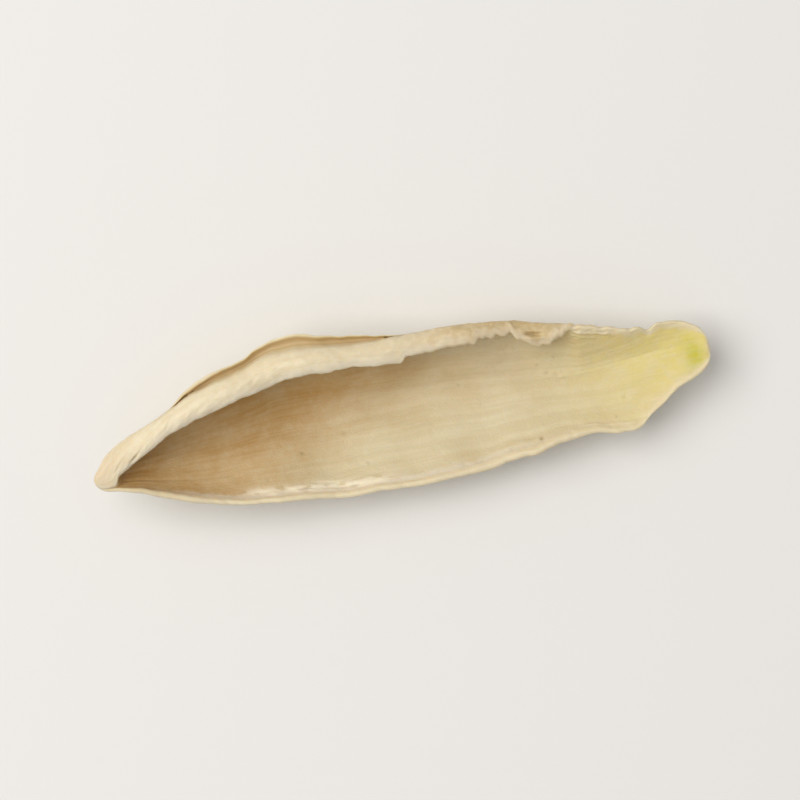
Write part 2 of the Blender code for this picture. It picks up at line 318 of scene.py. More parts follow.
def wall_points(keel, top, slope, steps):
    """Points from the keel (0) to the top (1) on curves that leave level and arrive with a slope."""
    outwards = np.sign(top[:, :1] - keel[:, :1])
    rise = (top - keel)[:, 1:]
    slope = slope[:, None]
    level = (outwards * (top - keel)[:, :1] - rise / np.tan(slope)) * CURVE_FULLNESS
    # The first handle is never shorter than the tightest belly needs, and passes over softly to that.
    least = np.sqrt(0.3 * TIGHTEST_BELLY * np.maximum(rise, 0.0))
    level = (level + least + np.hypot(level - least, 0.2)) / 2.0
    first = keel + np.hstack((outwards * level, np.zeros_like(level)))
    arriving = np.hstack((outwards * np.cos(slope), np.sin(slope)))
    second = top - arriving * rise / np.sin(slope) * CURVE_FULLNESS
    u = steps[None, :, None]
    v = 1.0 - u
    weights = (v ** 3, 3 * v * v * u, 3 * v * u * u, u ** 3)
    corners = (keel, first, second, top)
    return sum(weight * corner[:, None, :] for weight, corner in zip(weights, corners))


def roll_points(share, far, crest, slope, steps):
    """Points on the arcs that the far margin rolls along, from the top of the wall to the free edge."""
    x = share * LENGTH
    teeth = 0.05 + 0.25 * stretch(x, *FLAKE_STRETCH)
    ragged = layered(x, 0.0, FREE_EDGE_STEPS) + grain(x, 0.0, *FREE_EDGE_TEETH) * teeth
    width = far - along(FREE_EDGE, share) + ragged * ease(x / 2.0 - 1.0)
    rolled = ease((UNROLLED[1] - share) / (UNROLLED[1] - UNROLLED[0]))
    radius = along(ROLL_RADIUS, share)
    height = along(ROLL_HEIGHT, share)
    start = slope - math.pi / 2
    end = np.arccos(1.0 - np.clip(width / radius, 0.05, MOST_ROLLED))
    end = start + BARE_TURN + rolled * (end - start - BARE_TURN)
    outermost, highest = np.minimum(end, 0.0), np.minimum(end, math.pi / 2)
    centre = np.stack((far - radius * np.cos(outermost), crest - height * np.sin(highest)), axis=-1)
    angles = start[:, None] + (end - start)[:, None] * steps[None, :]
    arc = np.stack((radius[:, None] * np.cos(angles), height[:, None] * np.sin(angles)), axis=-1)
    return centre[:, None, :] + arc


def arc_lengths(curves):
    """Distances along each curve from its first point."""
    steps = np.linalg.norm(np.diff(curves, axis=1), axis=-1)
    return np.concatenate((np.zeros((len(curves), 1)), np.cumsum(steps, axis=1)), axis=1)


def resampled(curves, wanted):
    """Each curve read again at the wanted distances along it."""
    return np.stack([
        np.stack([np.interp(want, length, curve[:, axis]) for axis in (0, 1)], axis=-1)
        for curve, length, want in zip(curves, arc_lengths(curves), wanted)
    ])


def station_shares():
    """The shares of the length at which the sections stand, closer together towards both ends."""
    even = np.linspace(0.0, 1.0, STATIONS + 1)
    crowded = (1.0 - np.cos(math.pi * even)) / 2.0
    return even + END_CROWDING * (crowded - even)


def outer_curves(share):
    """The outer face at each station, near margin first: points, distances from the keel, lengths."""
    wave = sum(rise * np.sin(2.0 * math.pi * share * LENGTH / run) for run, rise in MARGIN_WAVES)
    keel = np.stack((along(KEEL_SIDE, share), along(KEEL_RISE, share)), axis=-1)
    near_edge = np.stack((-along(NEAR_REACH, share), along(NEAR_CREST, share) + wave), axis=-1)
    far_slope = np.radians(along(FAR_SLOPE, share))
    fine = np.linspace(0.0, 1.0, 160)
    roll = roll_points(share, along(BAND_REACH, share), along(FAR_CREST, share) - wave, far_slope, fine)
    wall = wall_points(keel, roll[:, 0], far_slope, fine)
    near = wall_points(keel, near_edge, np.radians(along(NEAR_SLOPE, share)), fine)
    far = np.concatenate((wall, roll[:, 1:]), axis=1)

    # The near side is sampled more closely towards its margin, the far side round its lip.
    near_steps = 1.0 - (1.0 - np.linspace(0.0, 1.0, NEAR_ROWS + 1)) ** 1.4
    near_across = arc_lengths(near)[:, -1:] * near_steps
    wall_length = arc_lengths(wall)[:, -1:]
    far_length = arc_lengths(far)[:, -1:]
    below = wall_length - np.minimum(LIP_BELOW, 0.5 * wall_length)
    last_stretch = np.minimum(MARGIN_STRETCH, 0.3 * far_length)
    above = np.minimum(wall_length + LIP_ABOVE, far_length - last_stretch)
    far_across = np.concatenate((
        below * np.linspace(0.0, 1.0, WALL_ROWS + 1)[:-1],
        below + (above - below) * np.linspace(0.0, 1.0, LIP_ROWS + 1)[:-1],
        above + (far_length - above) * np.linspace(0.0, 1.0, ROLL_ROWS + 1),
    ), axis=1)
    near_points = resampled(near, near_across)[:, :0:-1]
    points = np.concatenate((near_points, resampled(far, far_across)), axis=1)
    across = np.concatenate((-near_across[:, :0:-1], far_across), axis=1)
    return points, across, wall_length, far_length - wall_length


def section_normals(curves):
    """Directions across each curve, towards the hollow."""
    tangents = np.gradient(curves, axis=1)
    inwards = np.stack((-tangents[..., 1], tangents[..., 0]), axis=-1)
    return inwards / np.linalg.norm(inwards, axis=-1, keepdims=True)


def flesh_thickness(share, across, roll_length):
    """How thick the flesh is: full in the body, thin at the near margin and in the far roll."""
    width = np.minimum(MARGIN_WIDTH, 0.5 * (across[:, -1:] - across[:, :1] - roll_length))
    from_near = across - across[:, :1]
    from_roll = across[:, -1:] - roll_length - across
    body = along(FLESH_THICKNESS, share)[:, None]
    near = along(NEAR_THICKNESS, share)[:, None]
    far = along(FAR_THICKNESS, share)[:, None]
    fleshy = near + ease(from_near / width) * (body - near)
    return far + ease(from_roll / width) * (fleshy - far)


def with_lip(share, outer, across, wall_length, roll_length):
    """The outer face with its skin standing up as a thin second lip outside the rolled band."""
    reach = along(LIP_REACH, share)[:, None]
    raised = ease(reach / 0.3)
    reach = reach + raised * layered(share * LENGTH, 0.0, LIP_STEPS)[:, None]
    below = np.minimum(LIP_BELOW, 0.5 * wall_length)
    above = np.minimum(LIP_ABOVE, 0.4 * roll_length)
    part = (across - wall_length + below) / (below + above)
    inside = (part > 0.0) & (part < 1.0) & (across > 0.0)
    start = np.stack([
        [np.interp(length[0], line, points[:, axis]) for axis in (0, 1)]
        for length, line, points in zip(wall_length, across, outer)
    ])
    path = np.stack((
        start[:, :1] + reach * np.interp(part, LIP_PLACES, LIP_OUTS),
        start[:, 1:] + np.interp(part, LIP_PLACES, LIP_UPS),
    ), axis=-1)
    # Painted shade goes in the groove between the lip and the band.
    groove_shade = raised * ease((part - GROOVE_START) / 0.04) * ease((GROOVE_END - part) / 0.05) * inside
    # A painted highlight goes along the lip's edge.
    edge = raised * hump(part, 0.625, 0.04) * inside
    joined = raised * ease(part / 0.12) * ease((1.0 - part) / 0.12) * inside
    return outer + (path - outer) * joined[..., None], groove_shade, edge


def margin_shift(x, nicks, seed):
    """How far a margin stands out from its smooth line, with its small steps and nicks."""
    shift = grain(x, 0.0, 1.9, 1.0, seed) * 0.12 + grain(x, 0.0, 0.6, 1.0, seed + 1.0) * 0.06
    for place, width, depth in nicks:
        shift = shift - depth * hump(x, place, width)
    return shift * ease(x / 4.0 - 0.4) * ease((LENGTH - x) / 2.0)


def edge_cap(first, last, outwards):
    """Points that round a margin off from its first face to its last."""
    middle, half = (first + last) / 2.0, (first - last) / 2.0
    length = np.linalg.norm(half, axis=-1, keepdims=True)
    angles = np.linspace(0.0, math.pi, EDGE_ROWS + 2)[1:-1]
    return np.stack([
        middle + half * math.cos(angle) + outwards * length * math.sin(angle) for angle in angles
    ], axis=1)


def directions(steps):
    """The steps, each one brought to a length of 1."""
    return steps / np.linalg.norm(steps, axis=-1, keepdims=True)


def scale_sections(share):
    """The closed loop of points round the flesh at each station, and fields that tell where each lies.

    A loop runs over the outer face from the near margin to the far one, and back over the hollow face.
    """
    x = share * LENGTH
    outer, across, wall_length, roll_length = outer_curves(share)
    near_out = directions(outer[:, 0] - outer[:, 1])
    far_out = directions(outer[:, -1] - outer[:, -2])
    inwards = section_normals(outer)
    thickness = flesh_thickness(share, across, roll_length)
    from_near = across - across[:, :1]
    from_far = across[:, -1:] - across
    hollow_wall = outer
    outer, groove_shade, lip_edge_highlight = with_lip(share, outer, across, wall_length, roll_length)

    # The ends close by drawing every section in on its core.
    core_rise = along(KEEL_RISE, share) + along(CORE_RISE, share)
    core = np.stack((along(KEEL_SIDE, share), core_rise), axis=-1)
    drawn = closing(share, NOSE_CLOSING) * closing(1.0 - share, END_CLOSING)
    thinned = closing(share, NOSE_CLOSING) * closing(1.0 - share, RIM_CLOSING)
    outer = core[:, None, :] + (outer - core[:, None, :]) * drawn[:, None, None]
    hollow_wall = core[:, None, :] + (hollow_wall - core[:, None, :]) * drawn[:, None, None]
    thickness = thickness * thinned[:, None]
    inner = hollow_wall + inwards * thickness[..., None]
    part = (from_near / (from_near[:, -1:]))[..., None]
    lid = inner[:, :1] * (1.0 - part) + inner[:, -1:] * part
    lid[..., 1] += (LID_BULGE * drawn)[:, None] * np.sin(math.pi * part[..., 0])
    inner = inner + (lid - inner) * along(NOSE_FILL, share)[:, None, None]

    # Ragged margins: the flesh next to each one shifts in or out, and its face stays smooth.
    near_shift = (margin_shift(x, NEAR_NICKS, 3.0) * drawn)[:, None] * ease(1.0 - from_near / 1.3)
    far_shift = (margin_shift(x, FAR_NICKS, 7.0) * drawn)[:, None] * ease(1.0 - from_far / 1.0)
    shift = near_out[:, None, :] * near_shift[..., None] + far_out[:, None, :] * far_shift[..., None]
    outer = outer + shift
    inner = inner + shift

    near_cap = edge_cap(inner[:, 0], outer[:, 0], near_out)
    far_cap = edge_cap(outer[:, -1], inner[:, -1], far_out)
    loops = np.concatenate((outer, far_cap, inner[:, ::-1], near_cap), axis=1)

    def round_loop(face, at_far, at_near, back=None):
        back = face if back is None else back
        return np.concatenate((
            face, np.repeat(at_far[:, None], EDGE_ROWS, axis=1), back[:, ::-1],
            np.repeat(at_near[:, None], EDGE_ROWS, axis=1),
        ), axis=1)

    zeros = np.zeros_like(across)
    half_lengths = np.where(across < 0.0, -across[:, :1], across[:, -1:])
    fade = np.linspace(0.0, 1.0, EDGE_ROWS + 2)[1:-1]
    rows = outer.shape[1]
    side = np.concatenate((np.zeros(rows), fade, np.ones(rows), fade[::-1]))
    roll_part = across - wall_length
    fields = {
        "x": np.broadcast_to(x[:, None], loops.shape[:2]),
        "across": round_loop(across, across[:, -1], across[:, 0]),
        "vein": round_loop(across / half_lengths, across[:, -1] / across[:, -1], -np.ones(len(x))),
        "near": round_loop(from_near, from_near[:, -1], from_near[:, 0]),
        "far": round_loop(from_far, from_far[:, -1], from_far[:, 0]),
        "roll": round_loop(roll_part, roll_part[:, -1], roll_part[:, 0]),
        "groove_shade": round_loop(groove_shade, groove_shade[:, -1], groove_shade[:, 0], zeros),
        "lip_highlight": round_loop(lip_edge_highlight, lip_edge_highlight[:, -1], lip_edge_highlight[:, 0], zeros),
        "side": np.broadcast_to(side[None, :], loops.shape[:2]),
        "closed": np.broadcast_to(drawn[:, None], loops.shape[:2]),
        "thickness": round_loop(thickness, thickness[:, -1], thickness[:, 0]),
    }
    return loops, fields


def grid_normals(points):
    """Outward directions of a grid of points that closes round its second axis."""
    along_scale = np.gradient(points, axis=0)
    round_flesh = (np.roll(points, -1, axis=1) - np.roll(points, 1, axis=1)) / 2.0
    normals = np.cross(round_flesh, along_scale)
    return normals / np.maximum(np.linalg.norm(normals, axis=-1, keepdims=True), 1e-9)


def creases(where, from_margin, rows):
    """Thin raised wrinkles that run along a margin."""
    raised = np.zeros_like(from_margin)
    for start, end, inset, width, height, seed in rows:
        run = where["x"][:, :1]
        line = inset + 0.16 * grain(run, 0.0, 1.7, 1.0, seed)
        line += 0.06 * grain(run, 0.0, 0.5, 1.0, seed + 20.0)
        broken = ease(0.8 + 1.6 * grain(run, 0.0, 1.3, 1.0, seed + 40.0))
        window = ease((run - start) / 1.2) * ease((end - run) / 1.2)
        raised = raised + height * window * broken * hump(from_margin, line, width)
    return raised


def surface_relief(where, points):
    """How far the surface stands out from its smooth form, in millimetres."""
    x, side = where["x"], where["side"]
    vein, across = where["vein"], where["across"]
    near_margin, far_margin = ease(1.0 - where["near"] / 2.5), ease(1.0 - where["far"] / 2.0)
    margin = np.maximum(near_margin, far_margin)

    wandering = vein + layered(x, vein, VEIN_WANDER)
    hollow = layered(x, wandering, VEINED_HOLLOW) + layered(x, across, UNEVEN_HOLLOW)
    hollow += margin * layered(x, across, ROUGH_MARGIN)
    hollow += creases(where, where["near"], NEAR_CREASES) + creases(where, where["far"], FAR_CREASES)
    torn = stretch(x, *TORN_STRETCH) * ease(1.0 - where["far"] / 1.8)
    hollow += torn * layered(x, across, TORN_HOLLOW)
    scurf = np.zeros_like(x)
    for place, out, size in SCURF:
        scurf += hump(np.hypot(points[..., 0] - place, 1.3 * (points[..., 1] - out)), 0.0, size)
    hollow += scurf * layered(x, across, SCURF_GRAIN)
    for place, out, size, _ in PITS:
        apart = np.hypot(points[..., 0] - place, points[..., 1] - out)
        hollow -= PIT_DEPTH * size * hump(apart, 0.0, size)
    hollow *= 0.3 + 0.7 * where["closed"]

    ridge_height, *ridges = SKIN_RIDGES
    skin = ridge_height * (1.0 - 2.0 * np.abs(grain(x, wandering, *ridges)))
    skin += layered(x, wandering, VEINED_SKIN) + layered(x, across, UNEVEN_SKIN)
    rolled = ease(where["roll"] / 0.8 + 0.6)
    skin += rolled * (layered(x, across, ROLLED_SKIN) + torn * layered(x, across, TORN_SKIN))
    skin *= 0.3 + 0.7 * where["closed"]
    relief = skin + side * (hollow - skin)
    deepest = DEEPEST_RELIEF * np.maximum(where["thickness"], 0.01)
    relief = np.where(relief < 0.0, deepest * np.tanh(relief / deepest), relief)
    for place, out, turn, length, width, depth in SLITS:
        run, off = points[..., 0] - place, points[..., 1] - out
        lengthwise = run * math.cos(turn) + off * math.sin(turn)
        sideways = off * math.cos(turn) - run * math.sin(turn)
        cut = depth * hump(lengthwise, 0.0, length) * rolled * (1.0 - side)
        relief -= cut * (hump(sideways, 0.0, width) - 0.3 * hump(np.abs(sideways), 2.0 * width, width))
    return relief * ease(x / RELIEF_FADES[0]) * ease((LENGTH - x) / RELIEF_FADES[1])


def scale_form():
    """The grid of points on the scale, station by station, and the fields that go with it."""
    share = station_shares()
    loops, where = scale_sections(share)
    points = np.stack((where["x"], loops[..., 0], loops[..., 1]), axis=-1)
    straight = ease((where["x"] - STRAIGHT_VEINS[0]) / (STRAIGHT_VEINS[1] - STRAIGHT_VEINS[0]))
    fanned = where["vein"] * FAN_WIDTH
    where["vein"] = fanned + straight * (1.25 * (points[..., 1] - 0.5) - fanned)
    relief = surface_relief(where, points)
    points = points + grid_normals(points) * relief[..., None]
    points[..., 2] = np.maximum(points[..., 2] - SETTLED, 0.0)
    where["y"] = points[..., 1].copy()
    return points - np.array((*BOX_MIDDLE, 0.0)), where


def painted(where):
    """Soft masks from 0 to 1 that tell the flesh's materials where they are."""
    x, side, y = where["x"], where["side"], where["y"]
    on_roll = ease(where["roll"] / 1.0 + 0.7)
    from_end = LENGTH - x
    rim = np.minimum(np.minimum(where["near"], where["far"]), from_end * 1.2)
    pit = np.zeros_like(x)
    for place, out, size, darkness in PITS:
        apart = np.hypot(x - place, y - out)
        pit = np.maximum(pit, darkness * hump(apart, 0.0, size) * side)
    # The tan in the deep of the hollow, from the nose along under the roll, is partly the flesh's dried
    # colour and partly painted shade where the roll and the nose keep light out.
    reach = TAN_SHADE_REACH + TAN_SHADE_REACH_AT_NOSE * ease((22.0 - x) / 18.0)
    tan = ease(1.18 - (TAN_SHADE_EDGE - y) / reach) * ease((TAN_SHADE_END - x) / TAN_SHADE_FADE)
    # The band's outer flank is painted darker with the groove's colour: painted shade where it turns
    # away from the light near 7 mm, and darker again from 26 to 37 mm.
    flank = ease(1.1 - where["roll"] / 0.8) * ease(where["roll"] / 0.8 + 1.5)
    darker_flank = 0.5 * flank * (hump(x, 7.0, 2.0) + stretch(x, *DARKER_FLANK_STRETCH))
    # Frayed flecks of whitish skin stand along the near margin.
    run = 0.75 + 0.3 * grain(x, 0.0, 2.6, 1.0, 61.0)
    flecks = ease(1.2 + 2.6 * grain(x, where["near"], 0.9, 0.35, 62.0))
    fray = flecks * hump(where["near"], run, 0.42) * stretch(x, *FRAY_STRETCH)
    green = coming_in(x, *GREEN_FLESH) * (0.6 + 0.4 * ease((y + 4.5) / 5.0))
    tip_green = hump(x, GREEN_TIP[0] - 0.25 * y * y, GREEN_TIP_SIZE[0])
    tip_green *= hump(y, GREEN_TIP[1], GREEN_TIP_SIZE[1])
    return {
        "on_roll": on_roll * (1.0 - side),
        "torn": coming_in(x, *TORN_COLOUR),
        "bleach": coming_in(x, *BLEACHED) * (1.0 - 0.65 * coming_in(x, *LESS_BLEACHED)),
        "from_rim": rim,
        "from_near": where["near"],
        "from_far": where["far"],
        "tan": tan,
        "green": green,
        "tip_green": tip_green,
        "pit": pit,
        "groove_shade": np.maximum(where["groove_shade"], darker_flank) * (1.0 - side),
        "lip_highlight": where["lip_highlight"] * (1.0 - side),
        "nose": ease(1.0 - x / NOSE_TINT),
        "fray": fray * side,
    }


def scale_mesh():
    """The closed mesh of the scale, with its masks, its map and a material number for each face."""
    points, where = scale_form()
    stations, around = points.shape[:2]
    rings = slice(1, stations - 1)
    tips = points[[0, -1]].mean(axis=1)
    vertices = np.concatenate((points[rings].reshape(-1, 3), tips))
    index = np.arange((stations - 2) * around).reshape(stations - 2, around)
    following = np.roll(index, -1, axis=1)
    quads = np.stack((index[:-1], following[:-1], following[1:], index[1:]), axis=-1).reshape(-1, 4)
    nose, end = len(vertices) - 2, len(vertices) - 1
    nose_tips = np.stack((np.full(around, nose), following[0], index[0]), axis=-1)
    end_tips = np.stack((np.full(around, end), index[-1], following[-1]), axis=-1)

    mesh = bpy.data.meshes.new("dried_lily_bulb_scale")
    faces = quads.tolist() + nose_tips.tolist() + end_tips.tolist()
    mesh.from_pydata((vertices * MM).tolist(), [], faces)

    # The map unrolls the flesh: along the scale one way, round a section the other.
    u = station_shares()
    v = np.arange(around + 1) / around
    corner_u = np.stack((u[1:-2], u[1:-2], u[2:-1], u[2:-1]), axis=-1)[:, None, :]
    corner_v = np.stack((v[:-1], v[1:], v[1:], v[:-1]), axis=-1)[None, :, :]
    quad_map = np.stack(np.broadcast_arrays(corner_u, corner_v), axis=-1).reshape(-1, 2)
    middle = (v[:-1] + v[1:]) / 2.0
    nose_map = np.stack((
        np.stack((np.full(around, u[0]), middle), axis=-1),
        np.stack((np.full(around, u[1]), v[1:]), axis=-1),
        np.stack((np.full(around, u[1]), v[:-1]), axis=-1),
    ), axis=1).reshape(-1, 2)
    end_map = np.stack((
        np.stack((np.full(around, u[-1]), middle), axis=-1),
        np.stack((np.full(around, u[-2]), v[:-1]), axis=-1),
        np.stack((np.full(around, u[-2]), v[1:]), axis=-1),
    ), axis=1).reshape(-1, 2)
    flat = mesh.uv_layers.new(name="OFBake")
    corners = np.concatenate((quad_map, nose_map, end_map)).astype(np.float32)
    flat.data.foreach_set("uv", corners.ravel())

    def at_vertices(field):
        return np.concatenate((field[rings].ravel(), field[[0, -1]].mean(axis=1))).astype(np.float32)

    for name, field in painted(where).items():
        mesh.attributes.new(name, "FLOAT", "POINT").data.foreach_set("value", at_vertices(field))
    growth = (where["x"], where["vein"], where["side"] * TWO_FACES_APART)
    growth = np.stack([at_vertices(field) for field in growth], axis=-1)
    for name, field in (("growth", growth), ("rest_place", vertices.astype(np.float32))):
        mesh.attributes.new(name, "FLOAT_VECTOR", "POINT").data.foreach_set("vector", field.ravel())

    # The hollow face and the outer skin each have their own material.
    side = where["side"][1:-1]
    quad_side = ((side[:-1] + side[1:]) / 2.0).ravel() > 0.5
    in_hollow = np.concatenate((quad_side, side[0] > 0.5, side[-1] > 0.5))
    mesh.polygons.foreach_set("material_index", in_hollow.astype(np.int32))
    mesh.shade_smooth()
    mesh.update()
    return mesh


def add(tree, kind, inputs=None, **settings):
    """A new node, with its settings and with inputs that are plain values or other nodes' outputs."""
    made = tree.nodes.new(kind)
    for name, value in settings.items():
        setattr(made, name, value)
    for name, value in (inputs or {}).items():
        if isinstance(value, bpy.types.NodeSocket):
            tree.links.new(value, made.inputs[name])
        else:
            made.inputs[name].default_value = value
    return made


def combined(tree, operation, *values):
    """The result of a Math node."""
    return add(tree, "ShaderNodeMath", dict(enumerate(values)), operation=operation).outputs[0]


def times(tree, first, second):
    """The product of two values."""
    return combined(tree, "MULTIPLY", first, second)


def between(tree, value, low, high, start=0.0, end=1.0):
    """A value spread smoothly from start, at its low mark, to end, at its high one."""
    inputs = {"Value": value, "From Min": low, "From Max": high, "To Min": start, "To Max": end}
    return add(tree, "ShaderNodeMapRange", inputs, interpolation_type="SMOOTHSTEP").outputs["Result"]


def blended(tree, amount, first, second):
    """Two colours mixed by an amount from 0 to 1."""
    made = tree.nodes.new("ShaderNodeMix")
    made.data_type = "RGBA"
    made.clamp_factor = True
    for socket, value in ((made.inputs[0], amount), (made.inputs[6], first), (made.inputs[7], second)):
        if isinstance(value, bpy.types.NodeSocket):
            tree.links.new(value, socket)
        else:
            socket.default_value = value if isinstance(value, float) else (*value, 1.0)
    return made.outputs[2]


def painted_mask(tree, name):
    """The value of one of the mesh's own fields."""
    return add(tree, "ShaderNodeAttribute", attribute_name=name).outputs["Fac"]


def effect(name, inputs, output):
    """An empty node group with number and vector inputs and one number output."""
    tree = bpy.data.node_groups.new(name, "ShaderNodeTree")
    for label, value in inputs.items():
        kind = "NodeSocketVector" if value is None else "NodeSocketFloat"
        socket = tree.interface.new_socket(name=label, in_out="INPUT", socket_type=kind)
        if value is not None:
            socket.default_value = value
    tree.interface.new_socket(name=output, in_out="OUTPUT", socket_type="NodeSocketFloat")
    entry = tree.nodes.new("NodeGroupInput")
    leave = tree.nodes.new("NodeGroupOutput")
    return tree, entry.outputs, leave.inputs[output]


def growth_veins_effect():
    """Fine lines that run along the scale, Spacing millimetres apart and Run millimetres long."""
    inputs = {"Growth": None, "Spacing": 0.5, "Run": 12.0, "Seed": 0.0}
    tree, given, result = effect("growth_veins", inputs, "Veins")
    place = add(tree, "ShaderNodeSeparateXYZ", {"Vector": given["Growth"]}).outputs
    wander = add(tree, "ShaderNodeTexNoise", {"Vector": given["Growth"], "Scale": 0.12, "Detail": 1.0})
    sideways = combined(tree, "MULTIPLY_ADD", wander.outputs["Fac"], 1.4, place["Y"])
    stretched = add(tree, "ShaderNodeCombineXYZ", {
        "X": combined(tree, "DIVIDE", place["X"], given["Run"]),
        "Y": combined(tree, "DIVIDE", sideways, given["Spacing"]),
        "Z": combined(tree, "ADD", place["Z"], given["Seed"]),
    })
    lines = add(tree, "ShaderNodeTexNoise", {
        "Vector": stretched.outputs[0], "Scale": 1.0, "Detail": 2.5, "Roughness": 0.6,
    })
    tree.links.new(between(tree, lines.outputs["Fac"], 0.3, 0.7), result)
    return tree


def dried_mottle_effect():
    """Soft cloudy patches about Size millimetres wide."""
    tree, given, result = effect("dried_mottle", {"Place": None, "Size": 2.0, "Seed": 0.0}, "Mottle")
    shifted = add(tree, "ShaderNodeVectorMath", {0: given["Place"], 1: given["Seed"]}, operation="ADD")
    shrunk = add(tree, "ShaderNodeVectorMath", {
        0: shifted.outputs[0], "Scale": combined(tree, "DIVIDE", 1.0, given["Size"]),
    }, operation="SCALE")
    clouds = add(tree, "ShaderNodeTexNoise", {
        "Vector": shrunk.outputs[0], "Scale": 1.0, "Detail": 3.0, "Roughness": 0.55,
    })
    tree.links.new(between(tree, clouds.outputs["Fac"], 0.3, 0.7), result)
    return tree


def dust_specks_effect():
    """Scattered dark specks: one in some of the cells that are Spacing millimetres wide."""
    inputs = {"Place": None, "Spacing": 2.0, "Size": 0.06, "Share": 0.4}
    tree, given, result = effect("dust_specks", inputs, "Specks")
    shrunk = add(tree, "ShaderNodeVectorMath", {
        0: given["Place"], "Scale": combined(tree, "DIVIDE", 1.0, given["Spacing"]),
    }, operation="SCALE")
    cells = add(tree, "ShaderNodeTexVoronoi", {
        "Vector": shrunk.outputs[0], "Scale": 1.0, "Randomness": 0.9,
    })
    distance = times(tree, cells.outputs["Distance"], given["Spacing"])
    size = times(tree, given["Size"], 2.0)
    near = combined(tree, "SUBTRACT", 1.0, combined(tree, "DIVIDE", distance, size))
    spot = between(tree, near, 0.0, 0.6)
    draw = add(tree, "ShaderNodeSeparateXYZ", {"Vector": cells.outputs["Color"]}).outputs["X"]
    chosen = combined(tree, "LESS_THAN", draw, given["Share"])
    tree.links.new(times(tree, spot, chosen), result)
    return tree


def bleached_and_highlit_rim_effect():
    """A band along the margins, about Width millimetres wide, where the flesh is bleached and where a
    thin painted highlight runs.
    """
    inputs = {"From Rim": 1.0, "Width": 0.8, "Place": None}
    tree, given, result = effect("bleached_and_highlit_rim", inputs, "Bleached And Highlit")
    edge = add(tree, "ShaderNodeTexNoise", {
        "Vector": given["Place"], "Scale": 1.1, "Detail": 3.0, "Roughness": 0.6,
    })
    width = times(tree, given["Width"], combined(tree, "MULTIPLY_ADD", edge.outputs["Fac"], 1.8, 0.1))
    fade = between(tree, combined(tree, "DIVIDE", given["From Rim"], width), 0.25, 1.25, 1.0, 0.0)
    tree.links.new(fade, result)
    return tree


def used(tree, group, **values):
    """The output of a shared effect, placed in a material with its own values."""
    made = tree.nodes.new("ShaderNodeGroup")
    made.node_tree = group
    for name, value in values.items():
        socket = made.inputs[name.replace("_", " ")]
        if isinstance(value, bpy.types.NodeSocket):
            tree.links.new(value, socket)
        else:
            socket.default_value = value
    return made.outputs[0]


def flesh_material(name):
    """A waxy, faintly translucent Principled material, its places on the flesh, and its tree."""
    material = bpy.data.materials.new(name)
    material.use_nodes = True
    tree = material.node_tree
    shader = tree.nodes["Principled BSDF"]
    shader.inputs["Subsurface Weight"].default_value = TRANSLUCENCE
    shader.inputs["Subsurface Radius"].default_value = GLOW_SPREAD
    shader.inputs["Subsurface Scale"].default_value = GLOW_DEPTH * MM
    shader.inputs["IOR"].default_value = FLESH_IOR
    growth = add(tree, "ShaderNodeAttribute", attribute_name="growth").outputs["Vector"]
    place = add(tree, "ShaderNodeAttribute", attribute_name="rest_place").outputs["Vector"]
    return material, tree, shader, growth, place


def dressed(tree, shader, colour, roughness, height):
    """Feeds a flesh shader its colour, its roughness and a fine bump."""
    bump = add(tree, "ShaderNodeBump", {
        "Strength": BUMP_STRENGTH, "Distance": BUMP_HEIGHT * MM, "Height": height,
    })
    tree.links.new(colour, shader.inputs["Base Color"])
    tree.links.new(roughness, shader.inputs["Roughness"])
    tree.links.new(bump.outputs["Normal"], shader.inputs["Normal"])


